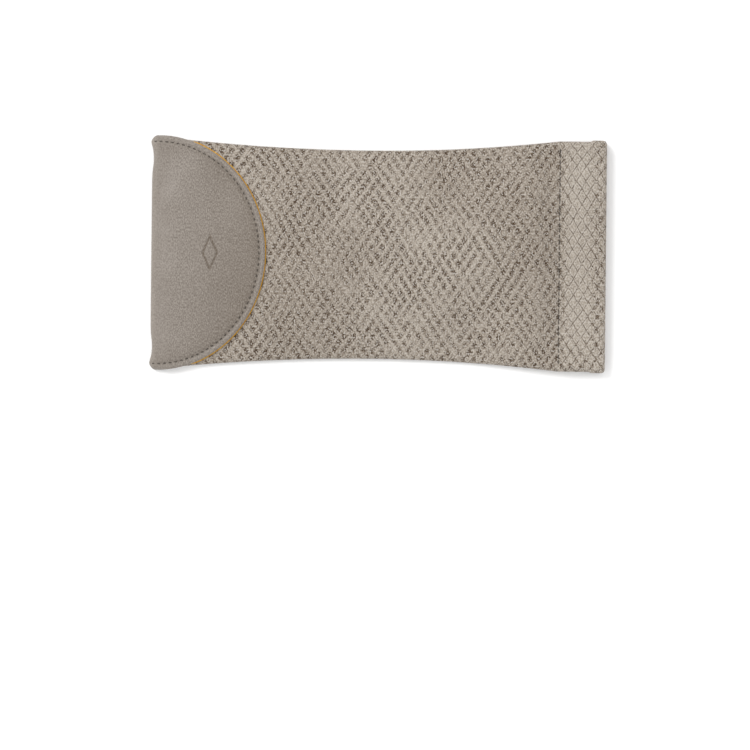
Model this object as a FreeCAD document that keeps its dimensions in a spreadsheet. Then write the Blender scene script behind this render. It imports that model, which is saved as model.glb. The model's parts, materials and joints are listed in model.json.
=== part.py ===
"""Soft glasses pouch with a squeeze-to-open spring mouth, lying flat on its back. Millimetres.

+X runs from the closed end to the mouth, +Y across the pouch and +Z up from the surface it lies
on. The origin is under the middle of the pouch. The back wall is flat. The front wall is a
crowned sheet that comes down to the back wall along both side seams and at the closed end, and
it swings up about the end fold when the mouth opens.
"""
import FreeCAD, Part
import math
import os
import Sketcher
from FreeCAD import Placement, Rotation, Vector

doc = FreeCAD.newDocument("GlassesPouch")

# ---------------------------------------------------------------- driving dimensions
SIZES = {
    "length": 175.0,
    "closed_width": 90.0,
    "waist_width": 80.2,
    "mouth_width": 88.6,
    "waist_place": -3.0,        # X of the narrowest place
    "hem_depth": 18.0,          # from the mouth edge to the hem's stitches
    "hem_lap": 2.0,             # turned-in leather past the stitches
    "hem_slope": 2.2,           # run of the slope beside the stitches
    "leather": 1.0,
    "lining": 0.4,
    "backing": 0.4,             # flannel under the end patch
    "patch_leather": 0.8,
    "seam_margin": 5.5,         # leather turned in along each side seam
    "margin_leather": 0.8,
    "casing": 1.2,              # room for a spring strip inside a hem
    "casing_length": 82.0,
    "clearance": 0.3,           # between the front wall and the back wall
    "skin_gap": 0.03,           # between bonded layers
    "crown": 6.2,               # rise of the front wall from its seams to its middle
    "fold_gap": 1.0,            # slit between the end fold and the front wall
    "end_corner": 3.0,          # cut off each corner of the closed end
    "patch_reach": 41.8,        # from the end fold's centre to the tip of the patch
    "patch_half_width": 45.2,
    "patch_overhang": 0.8,      # of the patch past the side seams
    "stitch_inset": 2.2,        # from the patch's edge to its stitches
    "thread": 0.5,
    "groove": 0.7,              # width of the groove that a thread lies in
    "groove_depth": 0.45,
    "hem_thread_length": 82.0,
    "strip_length": 78.0,
    "strip_width": 12.8,
    "strip_steel": 0.25,
    "strip_bow": 0.5,           # rise of the strip's curved cross-section
    "tip_length": 4.0,
    "tip_cover": 3.0,           # of the strip's end inside its plastic tip
    "mark_length": 15.0,
    "mark_width": 6.5,
    "mark_line": 0.9,
    "mark_depth": 0.3,
}

sheet = doc.addObject("Spreadsheet::Sheet", "Sizes")
for row, (alias, value) in enumerate(SIZES.items(), start=1):
    sheet.set(f"A{row}", alias)
    sheet.set(f"B{row}", str(value))
    sheet.setAlias(f"B{row}", alias)
doc.recompute()

# Places and levels worked out from the driving dimensions.
MOUTH_X = "Sizes.length / 2"
STITCH_X = f"({MOUTH_X} - Sizes.hem_depth)"
HEM_INNER_X = f"({STITCH_X} - Sizes.hem_lap)"
HEM_HEIGHT = "(2 * Sizes.leather + Sizes.casing)"
BACK_HEM_BASE = "0"
FRONT_HEM_BASE = f"({HEM_HEIGHT} + Sizes.clearance)"
SEAM_LEVEL = "(Sizes.leather + Sizes.margin_leather + Sizes.clearance)"
BACKING_LIFT = "(Sizes.leather + Sizes.skin_gap)"
PATCH_LIFT = f"({BACKING_LIFT} + Sizes.backing + Sizes.skin_gap)"
FOLD_TOP = f"({SEAM_LEVEL} + {PATCH_LIFT} + Sizes.patch_leather)"
FOLD_X = f"(-Sizes.length / 2 + {FOLD_TOP} / 2)"
FRONT_START_X = f"({FOLD_X} + Sizes.fold_gap)"
HEM_BITE = 0.6                  # how far the front wall's loft runs into its hem
LOFT_TUCK = 0.05                # keeps the loft's end inside the hem's doubled leather

# The front wall's cross-sections: X, share of the crown, and how far its seams have risen
# towards the hem.
STATIONS = (
    (FRONT_START_X, 0.03, 0.0),
    ("Sizes.length * -0.37", 0.42, 0.0),        # the mark's place
    ("Sizes.length * -0.22", 0.84, 0.0),
    ("Sizes.length * -0.05", 0.99, 0.0),
    ("Sizes.length * 0.12", 1.0, 0.0),
    ("Sizes.length * 0.25", 0.83, 0.12),
    ("Sizes.length * 0.34", 0.42, 0.52),
    (f"({HEM_INNER_X} + {HEM_BITE})", 0.01, 1.0),
)
LINING_ENDS = (-82.0, 66.0)     # X of the two ends of both linings
LINING_CORNER = 1.0             # cut off each corner of a lining
BACK_LINING_GAP = 0.3           # from the turned-in margins to the back lining
FRONT_LINING_GAP = 0.5          # from the back panel's margins in to the front lining
MARGIN_INSET = 0.25             # from the back panel's edge to its turned-in margin
SEAM_INSET = 1.2                # from a side seam's edge to its thread
SEAM_THREAD_END = 1.0           # from an end of the side seam to the end of its thread
GROOVE_SLACK = (SIZES["groove"] - SIZES["thread"]) / 2      # on each side of a thread
SUNK_THREAD = "0.8 * Sizes.thread"      # height of a thread that lies in a groove
PROUD_THREAD = "0.6 * Sizes.thread"     # height of a thread that lies on a surface
BLANK_WIDTH = "1.2 * Sizes.closed_width"
CASING_SHIFT = "Sizes.hem_slope / 4"    # of a casing's slope from its hem's slope
STRIP_LIFT = "0.15 * Sizes.casing"      # of a strip off the floor of its casing
TIP_LIFT = "0.05 * Sizes.casing"        # of a tip off the floor and roof of its casing
TIP_INNER_SLACK = 0.3           # of a tip past its strip, away from the mouth
TIP_OUTER_SLACK = 0.1           # the same, towards the mouth
OUTLINE_POINTS = 9              # along each long side


def value_of(expression):
    """An expression's value in millimetres."""
    return float(sheet.evalExpression(expression))


def half_width(x):
    """Half the pouch's width at X: two parabolas that meet at the waist, then straight."""
    if value_of(x) < value_of("Sizes.waist_place"):
        end, reach = "closed_width", "(Sizes.waist_place + Sizes.length / 2)"
    else:
        end, reach = "mouth_width", f"({STITCH_X} - Sizes.waist_place)"
    run = f"(({x} - Sizes.waist_place) / {reach})"
    rise = f"(Sizes.{end} - Sizes.waist_width) * min(1; {run} * {run})"
    return f"((Sizes.waist_width + {rise}) / 2)"


# ---------------------------------------------------------------- sketching
def new_body(label):
    body = doc.addObject("PartDesign::Body", label)
    body.Label = label
    body.Placement = Placement()
    return body


def new_sketch(body, role, name, offset=None):
    """A sketch on one of the body's origin planes, moved along its normal by an expression."""
    sketch = body.newObject("Sketcher::SketchObject", name)
    plane = next(f for f in body.Origin.OriginFeatures if f.Role == role)
    sketch.AttachmentSupport = [(plane, "")]
    sketch.MapMode = "FlatFace"
    if offset is not None:
        sketch.setExpression("AttachmentOffset.Base.z", offset)
    return sketch


def dimension(sketch, kind, places, expression):
    """A driving dimension of the sketch, bound to an expression."""
    number = sketch.addConstraint(Sketcher.Constraint(kind, *places, value_of(expression)))
    sketch.setExpression(f"Constraints[{number}]", expression)


def profile(sketch, corners, bends=None):
    """A closed profile whose corners, (x, y) expressions, are bound to the sheet.

    bends turns the edge that starts at that corner into an arc: its value is a point that the
    arc passes through, (x, y) expressions, then "centre" and its centre's x, or "radius" and
    its radius.
    """
    bends = bends or {}
    points = [Vector(value_of(x), value_of(y)) for x, y in corners]
    count = len(points)
    ends = []                   # (edge, its position at the corner, its position at the next)
    for k in range(count):
        start, end = points[k], points[(k + 1) % count]
        if k in bends:
            through = Vector(*(value_of(e) for e in bends[k][0]))
            curve = Part.Arc(start, through, end)
            edge = sketch.addGeometry(curve)
            forward = sketch.getPoint(edge, 1).distanceToPoint(start) < 1e-6
            ends.append((edge, 1, 2) if forward else (edge, 2, 1))
        else:
            ends.append((sketch.addGeometry(Part.LineSegment(start, end)), 1, 2))
    for k in range(count):
        edge, _, last = ends[k]
        following, first, _ = ends[(k + 1) % count]
        sketch.addConstraint(Sketcher.Constraint("Coincident", edge, last, following, first))
    for k, (x, y) in enumerate(corners):
        edge, first, _ = ends[k]
        dimension(sketch, "DistanceX", (-1, 1, edge, first), x)
        dimension(sketch, "DistanceY", (-1, 1, edge, first), y)
    for k, (_, what, expression) in bends.items():
        if what == "centre":
            dimension(sketch, "DistanceX", (-1, 1, ends[k][0], 3), expression)
        else:
            dimension(sketch, "Radius", (ends[k][0],), expression)


def box_profile(sketch, low_x, low_y, high_x, high_y):
    profile(sketch, [(low_x, low_y), (high_x, low_y), (high_x, high_y), (low_x, high_y)])


def pad(body, sketch, length, symmetric=True):
    feature = body.newObject("PartDesign::Pad", f"{sketch.Name}Pad")
    feature.Profile = sketch
    feature.SideType = "Symmetric" if symmetric else "One side"
    feature.setExpression("Length", length)
    return feature


def pocket(body, sketch, length=None):
    """Cuts both ways from the sketch, right through unless a length is given."""
    doc.recompute()
    before = body.Shape.Volume
    feature = body.newObject("PartDesign::Pocket", f"{sketch.Name}Cut")
    feature.Profile = sketch
    feature.SideType = "Symmetric"
    if length is None:
        feature.Type = "ThroughAll"
    else:
        feature.setExpression("Length", length)
    doc.recompute()
    assert body.Shape.Volume < before, f"{feature.Name} removed nothing"
    return feature


# ---------------------------------------------------------------- the pouch's outline
def side_line(x_start, x_end, inset, sign):
    """Points of one long side, moved in by inset; sign is 1 for the +Y side."""
    steps = OUTLINE_POINTS - 1
    places = [x_start + (x_end - x_start) * k / steps for k in range(OUTLINE_POINTS)]
    return [Vector(x, sign * (value_of(half_width(f"({x})")) - inset)) for x in places]


def spline(sketch, points):
    curve = Part.BSplineCurve()
    curve.interpolate(points)
    sketch.addGeometry(curve)


def outline(sketch, x_start, x_end, inset, corner):
    """The closed outline between two places, its corners at the start cut off."""
    sides = [side_line(x_start + corner, x_end, inset, sign) for sign in (1, -1)]
    starts = [Vector(x_start, side[0].y - sign * corner) for side, sign in zip(sides, (1, -1))]
    for side, start in zip(sides, starts):
        spline(sketch, side)
        sketch.addGeometry(Part.LineSegment(start, side[0]))
    sketch.addGeometry(Part.LineSegment(*starts))
    sketch.addGeometry(Part.LineSegment(sides[0][-1], sides[1][-1]))


def frame_around(sketch):
    """A square larger than the pouch, so that a pocket keeps only what a closed line encloses."""
    far = "Sizes.length"
    box_profile(sketch, f"-{far}", f"-{far}", far, far)


def side_bands(sketch, x_start, x_end, inset, width):
    """A band along each side seam, from inset to inset plus width."""
    for sign in (1, -1):
        outer = side_line(x_start, x_end, inset, sign)
        inner = side_line(x_start, x_end, inset + width, sign)
        spline(sketch, outer)
        spline(sketch, inner)
        for k in (0, -1):
            sketch.addGeometry(Part.LineSegment(outer[k], inner[k]))


# ---------------------------------------------------------------- crowned sheets
def arch_section(body, name, station, inset, lift, thickness):
    """One cross-section of a crowned sheet: two arcs joined by short upright ends.

    The sheet is narrower than the pouch by inset on each side, and lies lift above the front
    panel's underside at every place.
    """
    x, crown_share, hem_share = station
    full = half_width(x)
    half = f"({full} - {inset})"
    whole_rise = f"(Sizes.crown * {crown_share})"
    rise = f"({whole_rise} * ({half} / {full}) * ({half} / {full}))"
    hem_level = f"({FRONT_HEM_BASE} + Sizes.leather - {LOFT_TUCK})"
    seam = f"({SEAM_LEVEL} + {hem_share} * ({hem_level} - {SEAM_LEVEL}))"
    low = f"({seam} + {whole_rise} - {rise} + {lift})"
    radius = f"(({half} * {half} + {rise} * {rise}) / (2 * {rise}))"
    y, z, top, thick = (value_of(e) for e in (half, low, rise, thickness))
    sketch = new_sketch(body, "YZ_Plane", name, x)
    for level in (z, z + thick):
        sketch.addGeometry(Part.Arc(Vector(y, level), Vector(0, level + top), Vector(-y, level)))
    for end in (y, -y):
        sketch.addGeometry(Part.LineSegment(Vector(end, z), Vector(end, z + thick)))
    for side in (2, 3):
        sketch.addConstraint(Sketcher.Constraint("Coincident", side, 1, 0, side - 1))
        sketch.addConstraint(Sketcher.Constraint("Coincident", side, 2, 1, side - 1))
        sketch.addConstraint(Sketcher.Constraint("Vertical", side))
    sketch.addConstraint(Sketcher.Constraint("Symmetric", 0, 1, 0, 2, -2))
    dimension(sketch, "DistanceX", (-1, 1, 2, 1), half)
    dimension(sketch, "DistanceY", (-1, 1, 2, 1), low)
    dimension(sketch, "DistanceY", (2, 1, 2, 2), thickness)
    dimension(sketch, "Radius", (0,), radius)
    dimension(sketch, "Radius", (1,), radius)
    return sketch


def crowned_sheet(body, inset, lift, thickness):
    """A smooth loft through the front wall's cross-sections."""
    sections = [
        arch_section(body, f"{body.Label}_section_{k}", station, inset, lift, thickness)
        for k, station in enumerate(STATIONS)
    ]
    loft = body.newObject("PartDesign::AdditiveLoft", f"{body.Label}_loft")
    loft.Profile = sections[0]
    loft.Sections = sections[1:]
    doc.recompute()
    return loft


# ---------------------------------------------------------------- hems, threads and springs
def add_hem(body, base):
    """Leather doubled back round the mouth edge, stitched flat at its inner edge.

    The casing for the spring strip is closed at both ends by the side seams.
    """
    t = "Sizes.leather"
    top = f"({base} + {HEM_HEIGHT})"
    middle = f"({base} + {HEM_HEIGHT} / 2)"
    bend_x = f"({MOUTH_X} - {HEM_HEIGHT} / 2)"
    pressed = f"({base} + 2 * {t})"
    outside = new_sketch(body, "XZ_Plane", f"{body.Label}_hem")
    profile(
        outside,
        [
            (HEM_INNER_X, base),
            (bend_x, base),
            (bend_x, top),
            (f"{STITCH_X} + Sizes.hem_slope", top),
            (STITCH_X, pressed),
            (HEM_INNER_X, pressed),
        ],
        {1: ((MOUTH_X, middle), "centre", bend_x)},
    )
    pad(body, outside, "Sizes.mouth_width")
    casing_x = f"({STITCH_X} + {CASING_SHIFT})"
    inside = new_sketch(body, "XZ_Plane", f"{body.Label}_casing")
    profile(
        inside,
        [
            (casing_x, f"({base} + {t})"),
            (bend_x, f"({base} + {t})"),
            (bend_x, f"({top} - {t})"),
            (f"({casing_x} + Sizes.hem_slope)", f"({top} - {t})"),
        ],
        {1: ((f"({MOUTH_X} - {t})", middle), "centre", bend_x)},
    )
    pocket(body, inside, "Sizes.casing_length")
    for face, level in hem_faces(base).items():
        groove = new_sketch(body, "XZ_Plane", f"{body.Label}_{face}_groove")
        box_profile(groove, *thread_box(level, "Sizes.groove", "Sizes.groove_depth"))
        pocket(body, groove, "Sizes.hem_thread_length + Sizes.groove")


def hem_faces(base):
    """The levels of the stitched faces, and which way each groove goes in."""
    return {
        "lower": (base, 1),
        "upper": (f"({base} + 2 * Sizes.leather)", -1),
    }


def thread_box(face, width, depth):
    """Low and high corners, in a side view, of what lies in a stitched face to some depth."""
    level, inward = face
    low, high = (level, f"({level} + {depth})") if inward > 0 else (f"({level} - {depth})", level)
    return f"({STITCH_X} - {width} / 2)", low, f"({STITCH_X} + {width} / 2)", high


def make_hem_thread(label, base):
    """The needle thread and the bobbin thread, sunk in the two faces of a hem."""
    body = new_body(label)
    for face, (level, inward) in hem_faces(base).items():
        sunk = f"({level} + {inward} * Sizes.skin_gap)"
        run = new_sketch(body, "XZ_Plane", f"{label}_{face}")
        box_profile(run, *thread_box((sunk, inward), "Sizes.thread", SUNK_THREAD))
        pad(body, run, "Sizes.hem_thread_length")
    return body


def strip_profile(sketch, base, slack):
    """Side view of a spring strip: thin steel bowed upwards, grown by slack on every side."""
    low_x = f"({MOUTH_X} - {HEM_HEIGHT} / 2 - Sizes.strip_width - {slack})"
    high_x = f"({MOUTH_X} - {HEM_HEIGHT} / 2 + {slack})"
    middle_x = f"(({low_x} + {high_x}) / 2)"
    under = f"({base} + Sizes.leather + {STRIP_LIFT} - {slack})"
    over = f"({under} + Sizes.strip_steel + 2 * {slack})"
    chord = f"({high_x} - {low_x})"
    radius = f"({chord} * {chord} / (8 * Sizes.strip_bow) + Sizes.strip_bow / 2)"
    profile(
        sketch,
        [(low_x, under), (high_x, under), (high_x, over), (low_x, over)],
        {
            0: ((middle_x, f"({under} + Sizes.strip_bow)"), "radius", radius),
            2: ((middle_x, f"({over} + Sizes.strip_bow)"), "radius", radius),
        },
    )


def make_spring_strip(label, base):
    body = new_body(label)
    section = new_sketch(body, "XZ_Plane", f"{label}_section")
    strip_profile(section, base, "0")
    pad(body, section, "Sizes.strip_length")
    return body


def make_strip_tips(label, base):
    """Two moulded tips, each slotted over one end of the spring strip."""
    body = new_body(label)
    low_x = f"({MOUTH_X} - {HEM_HEIGHT} / 2 - Sizes.strip_width - {TIP_INNER_SLACK})"
    high_x = f"({MOUTH_X} - {HEM_HEIGHT} / 2 + {TIP_OUTER_SLACK})"
    low = f"({base} + Sizes.leather + {TIP_LIFT})"
    high = f"({base} + Sizes.leather + Sizes.casing - {TIP_LIFT})"
    for tag, side in (("left", 1), ("right", -1)):
        middle = f"{-side} * (Sizes.strip_length / 2 - Sizes.tip_cover + Sizes.tip_length / 2)"
        block = new_sketch(body, "XZ_Plane", f"{label}_{tag}", middle)
        box_profile(block, low_x, low, high_x, high)
        pad(body, block, "Sizes.tip_length")
    slot = new_sketch(body, "XZ_Plane", f"{label}_slot")
    strip_profile(slot, base, "Sizes.skin_gap")
    pocket(body, slot, "Sizes.strip_length + 2 * Sizes.skin_gap")
    return body


# ---------------------------------------------------------------- back wall
def make_back_panel():
    """Flat smooth leather with the end fold, turned-in side margins and its hem."""
    body = new_body("back_panel")
    t = "Sizes.leather"
    seam_end = f"({HEM_INNER_X} + {HEM_BITE})"
    sheet_side = new_sketch(body, "XZ_Plane", "back_panel_side")
    profile(
        sheet_side,
        [
            (FOLD_X, "0"),
            (seam_end, "0"),
            (seam_end, t),
            (FOLD_X, t),
            (FOLD_X, f"({FOLD_TOP} - {t})"),
            (FOLD_X, FOLD_TOP),
        ],
        {
            3: ((f"({FOLD_X} - {FOLD_TOP} / 2 + {t})", f"({FOLD_TOP} / 2)"), "centre", FOLD_X),
            5: ((f"({FOLD_X} - {FOLD_TOP} / 2)", f"({FOLD_TOP} / 2)"), "centre", FOLD_X),
        },
    )
    pad(body, sheet_side, BLANK_WIDTH)
    cut = new_sketch(body, "XY_Plane", "back_panel_outline")
    frame_around(cut)
    closed_x = value_of("-Sizes.length / 2") - value_of("Sizes.skin_gap")
    outline(cut, closed_x, value_of(MOUTH_X), 0.0, value_of("Sizes.end_corner"))
    pocket(body, cut)
    add_hem(body, BACK_HEM_BASE)
    bands = new_sketch(body, "XY_Plane", "back_panel_margins", t)
    reach = (value_of(FRONT_START_X), value_of(seam_end))
    side_bands(bands, *reach, MARGIN_INSET, value_of("Sizes.seam_margin") - MARGIN_INSET)
    pad(body, bands, "Sizes.margin_leather", symmetric=False)
    grooves = new_sketch(body, "XY_Plane", "back_panel_seam_grooves", f"{t} + Sizes.margin_leather")
    side_bands(grooves, *seam_thread_reach(), *seam_thread_band(GROOVE_SLACK))
    pocket(body, grooves, "2 * Sizes.groove_depth")
    return body


def seam_thread_reach():
    return value_of(FRONT_START_X) + SEAM_THREAD_END, value_of(HEM_INNER_X) - SEAM_THREAD_END


def seam_thread_band(slack):
    """Inset and width of a side seam's thread, grown by slack on both sides."""
    return SEAM_INSET - slack, value_of("Sizes.thread") + 2 * slack


def make_side_seam_threads():
    """The two seams that join the walls, sunk in the turned-in margins."""
    body = new_body("side_seam_threads")
    level = "Sizes.leather + Sizes.margin_leather - Sizes.groove_depth + Sizes.skin_gap"
    runs = new_sketch(body, "XY_Plane", "side_seam_runs", level)
    x_start, x_end = seam_thread_reach()
    end_gap = value_of("Sizes.skin_gap")
    side_bands(runs, x_start + end_gap, x_end - end_gap, *seam_thread_band(0.0))
    pad(body, runs, SUNK_THREAD, symmetric=False)
    return body


def make_back_lining():
    body = new_body("back_lining")
    area = new_sketch(body, "XY_Plane", "back_lining_area", "Sizes.leather + Sizes.skin_gap")
    inset = value_of("Sizes.seam_margin") + BACK_LINING_GAP
    outline(area, *LINING_ENDS, inset, LINING_CORNER)
    pad(body, area, "Sizes.lining", symmetric=False)
    return body


# ---------------------------------------------------------------- front wall
def make_front_panel():
    """Scale-embossed leather: one crowned sheet with its hem."""
    body = new_body("front_panel")
    crowned_sheet(body, "0", "0", "Sizes.leather")
    add_hem(body, FRONT_HEM_BASE)
    return body


def make_front_lining():
    body = new_body("front_lining")
    inset = f"(Sizes.seam_margin + {FRONT_LINING_GAP})"
    lift = "(0 - Sizes.lining - Sizes.skin_gap)"
    crowned_sheet(body, inset, lift, "Sizes.lining")
    cut = new_sketch(body, "XY_Plane", "front_lining_outline")
    frame_around(cut)
    outline(cut, *LINING_ENDS, value_of(inset), LINING_CORNER)
    pocket(body, cut)
    return body


def half_ellipse(sketch, inset, spare=0.0):
    """The patch's outline, moved in by inset, closed by a straight line.

    The line is where the front wall starts, or further out by spare.
    """
    centre = value_of(FOLD_X)
    start = value_of(FRONT_START_X) - spare
    reach = value_of("Sizes.patch_reach") - inset
    side = value_of("Sizes.patch_half_width") - inset
    curve = Part.Ellipse(Vector(centre, side), Vector(centre - reach, 0), Vector(centre, 0))
    y = side * (1 - ((start - centre) / reach) ** 2) ** 0.5
    ends = [Vector(start, -y), Vector(start, y)]
    parameters = [curve.parameter(end) for end in ends]
    sketch.addGeometry(Part.ArcOfEllipse(curve, *parameters))
    sketch.addGeometry(Part.LineSegment(*ends))


def make_patch_layer(label, lift, thickness):
    """A crowned sheet cut to the patch's outline."""
    body = new_body(label)
    crowned_sheet(body, "(0 - Sizes.patch_overhang)", lift, thickness)
    cut = new_sketch(body, "XY_Plane", f"{label}_outline")
    frame_around(cut)
    half_ellipse(cut, inset=0.0)
    pocket(body, cut)
    return body


def press_mark(body):
    """A plain lozenge ring pressed into the patch, square to its surface there."""
    (x_low, share_low, _), (place, crown_share, _), (x_high, share_high, _) = STATIONS[:3]
    level = f"({SEAM_LEVEL} + Sizes.crown * {crown_share} + {PATCH_LIFT} + Sizes.patch_leather)"
    slope = f"(Sizes.crown * {share_high - share_low} / ({x_high} - {x_low}))"
    half_long, half_wide = SIZES["mark_length"] / 2, SIZES["mark_width"] / 2
    slant = half_long / half_wide
    mark = new_sketch(body, "XY_Plane", f"{body.Label}_mark", level)
    tilt = -math.degrees(math.atan(value_of(slope)))
    mark.AttachmentOffset = Placement(Vector(), Rotation(Vector(0, 1, 0), tilt))
    mark.setExpression("AttachmentOffset.Base.x", place)
    for shrink in (0.0, SIZES["mark_line"]):
        wide, long = half_wide - shrink, half_long - slant * shrink
        tips = [Vector(-wide, 0), Vector(0, long), Vector(wide, 0), Vector(0, -long)]
        for k in range(4):
            mark.addGeometry(Part.LineSegment(tips[k], tips[(k + 1) % 4]))
    pocket(body, mark, "2 * Sizes.mark_depth")


def make_end_patch():
    body = make_patch_layer("end_patch", PATCH_LIFT, "Sizes.patch_leather")
    press_mark(body)
    return body


def make_patch_thread():
    """The stitches along the patch's curved edge, lying on its surface."""
    body = new_body("patch_thread")
    lift = f"({PATCH_LIFT} + Sizes.patch_leather + Sizes.skin_gap)"
    crowned_sheet(body, "(0 - Sizes.patch_overhang)", lift, PROUD_THREAD)
    inset = value_of("Sizes.stitch_inset")
    kept = new_sketch(body, "XY_Plane", "patch_thread_outer")
    frame_around(kept)
    half_ellipse(kept, inset)
    pocket(body, kept)
    inner = new_sketch(body, "XY_Plane", "patch_thread_inner")
    thread = value_of("Sizes.thread")
    half_ellipse(inner, inset + thread, spare=thread)
    pocket(body, inner)
    return body


# ---------------------------------------------------------------- all pieces, checks and files
pieces = [
    make_back_panel(),
    make_back_lining(),
    make_spring_strip("back_spring_strip", BACK_HEM_BASE),
    make_strip_tips("back_strip_tips", BACK_HEM_BASE),
    make_hem_thread("back_hem_thread", BACK_HEM_BASE),
    make_side_seam_threads(),
    make_front_panel(),
    make_front_lining(),
    make_end_patch(),
    make_patch_layer("patch_backing", BACKING_LIFT, "Sizes.backing"),
    make_patch_thread(),
    make_spring_strip("front_spring_strip", FRONT_HEM_BASE),
    make_strip_tips("front_strip_tips", FRONT_HEM_BASE),
    make_hem_thread("front_hem_thread", FRONT_HEM_BASE),
]
doc.recompute()

for item in doc.Objects:
    wrong = {"Invalid", "Error"} & set(item.State)
    assert not wrong, f"{item.Label}: {item.State}"
for piece in pieces:
    assert not piece.Shape.isNull(), f"{piece.Label} has no shape"
    assert piece.Shape.isValid(), f"{piece.Label} isn't valid"

os.makedirs("parts", exist_ok=True)
for piece in pieces:
    piece.Shape.exportStep(f"parts/{piece.Label}.step")
    box = piece.Shape.BoundBox
    print(
        f"{piece.Label}: {len(piece.Shape.Solids)} solids, {piece.Shape.Volume:.0f} mm3, "
        f"z {box.ZMin:.2f} to {box.ZMax:.2f}, {box.XLength:.1f} x {box.YLength:.1f}"
    )
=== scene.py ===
import json
import math

import bmesh
import bpy
import numpy as np
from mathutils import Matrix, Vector, noise


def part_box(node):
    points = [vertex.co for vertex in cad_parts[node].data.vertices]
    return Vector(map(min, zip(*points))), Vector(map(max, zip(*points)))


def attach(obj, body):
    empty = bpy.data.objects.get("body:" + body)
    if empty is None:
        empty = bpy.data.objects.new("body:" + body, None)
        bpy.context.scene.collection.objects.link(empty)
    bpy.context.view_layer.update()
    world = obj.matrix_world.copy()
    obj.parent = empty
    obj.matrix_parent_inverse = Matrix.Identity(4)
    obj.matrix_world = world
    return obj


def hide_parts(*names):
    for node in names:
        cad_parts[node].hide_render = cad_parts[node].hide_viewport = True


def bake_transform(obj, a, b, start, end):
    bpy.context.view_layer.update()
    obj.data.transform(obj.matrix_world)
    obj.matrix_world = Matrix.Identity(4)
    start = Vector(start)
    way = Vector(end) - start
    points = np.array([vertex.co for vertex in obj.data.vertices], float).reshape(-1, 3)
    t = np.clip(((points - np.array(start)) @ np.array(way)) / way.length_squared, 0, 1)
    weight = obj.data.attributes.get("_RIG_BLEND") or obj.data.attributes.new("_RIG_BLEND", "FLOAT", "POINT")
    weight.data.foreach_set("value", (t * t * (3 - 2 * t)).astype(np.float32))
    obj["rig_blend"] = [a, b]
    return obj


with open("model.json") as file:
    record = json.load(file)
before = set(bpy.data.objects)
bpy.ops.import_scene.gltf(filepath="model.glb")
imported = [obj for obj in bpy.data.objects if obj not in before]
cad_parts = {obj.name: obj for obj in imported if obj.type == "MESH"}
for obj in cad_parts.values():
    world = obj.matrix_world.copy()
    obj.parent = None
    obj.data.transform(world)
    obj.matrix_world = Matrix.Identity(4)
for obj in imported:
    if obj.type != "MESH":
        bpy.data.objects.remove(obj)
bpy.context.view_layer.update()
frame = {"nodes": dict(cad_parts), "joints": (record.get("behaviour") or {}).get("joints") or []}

MM = 0.001

# ---------------------------------------- places read from the frame
HINGE = next(j for j in frame["joints"] if j["name"] == "mouth_open")
FOLD_X, _, FOLD_Z = HINGE["pos_m"]              # centre of the round fold at the closed end
CLOSED_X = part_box("back_panel")[0].x
MOUTH_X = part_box("back_panel")[1].x
STITCH_X = sum(corner.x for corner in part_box("back_hem_thread")) / 2
PATCH_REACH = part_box("end_patch")[1].x - FOLD_X
PATCH_HALF_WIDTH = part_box("end_patch")[1].y
LINING_LOW, LINING_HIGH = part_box("back_lining")
FRONT_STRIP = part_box("front_spring_strip")
FRONT_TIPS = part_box("front_strip_tips")

# ---------------------------------------- sizes shared by several pieces
CLOSED_WIDTH = 90.0 * MM
WAIST_WIDTH = 80.2 * MM
MOUTH_WIDTH = 88.6 * MM
WAIST_X = -3.0 * MM
LEATHER = 1.0 * MM
PATCH_LEATHER = 0.8 * MM
FLANNEL = 0.4 * MM
BOND = 0.03 * MM                                # between bonded layers
PIT_ROOM = 0.12 * MM                            # between the front's embossing and its lining
PATCH_LIFT = PATCH_LEATHER + FLANNEL + 2 * BOND # of the patch's face above the front leather
CORNER_ROUND = 2.6 * MM                         # of the end fold's two corners
CORNER_RUN = 5.0 * MM                           # over which the patch rises from a closed corner
BACKING_INSET = 1.9 * MM                        # of the patch's backing from the closed corners
HEM_LAP = 2.0 * MM                              # turned-in leather past the stitches
HEM_SLOPE = 2.2 * MM
HEM_RADIUS = 1.6 * MM                           # of the round fold at the mouth
FRONT_HEM_LOW = 3.5 * MM
FRONT_HEM_HIGH = FRONT_HEM_LOW + 2 * HEM_RADIUS
FRONT_HEM_PRESSED = 5.5 * MM                    # top of the front hem at its stitches
BACK_HEM_HIGH = 2 * HEM_RADIUS
BACK_HEM_PRESSED = 2.0 * MM
SEAM_TOP = 3.1 * MM                             # the front leather's outer face beside the seams
CROWN = 6.2 * MM
SIDE_ROLL = 1.7 * MM                            # how far in from the seam the leather rolls over
ROLL_END = math.radians(118)                    # the roll turns a little way back inwards
ROLL_STEPS = 7
HEM_TUCK = 0.55                                 # share of the side roll lost where the hem is inside
HEM_CORNER = 0.45                               # share of the hem's round lost at the seams
SEAM_HEIGHT = 1.55 * MM                         # of the side seam above the floor
SEAM_HEIGHT_HEM = 3.35 * MM
STITCH_INSET = 2.4 * MM                         # of the patch's stitches from its edge
STITCH_PITCH = 2.2 * MM
STITCH_SINK = 0.34 * MM                         # of a stitch's ends into its needle holes
STITCH_RINGS, STITCH_SIDES = 9, 8               # of a stitch's mesh
HEM_ROW_INSET = 2.4 * MM                        # of the ends of the hem's stitches from the sides
HEM_THREAD_LIFT = 0.10 * MM                     # of those stitches out of the leather's dip
SEAM_INSET = 1.25 * MM                          # of the seams' thread from the pouch's sides
THREAD = 0.38 * MM                              # across
THREAD_LIFT = 0.06 * MM                         # of a stitch's middle off its path
MARK_X = -64.75 * MM                            # middle of the lozenge pressed into the patch
MARK_HALF_LENGTH = 7.5 * MM
MARK_HALF_WIDTH = 3.25 * MM
MARK_LINE = 0.9 * MM
MARK_DEPTH = 0.34 * MM
OPENING_REACH = 42.0 * MM                       # beyond it the walls stay sewn together

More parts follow.
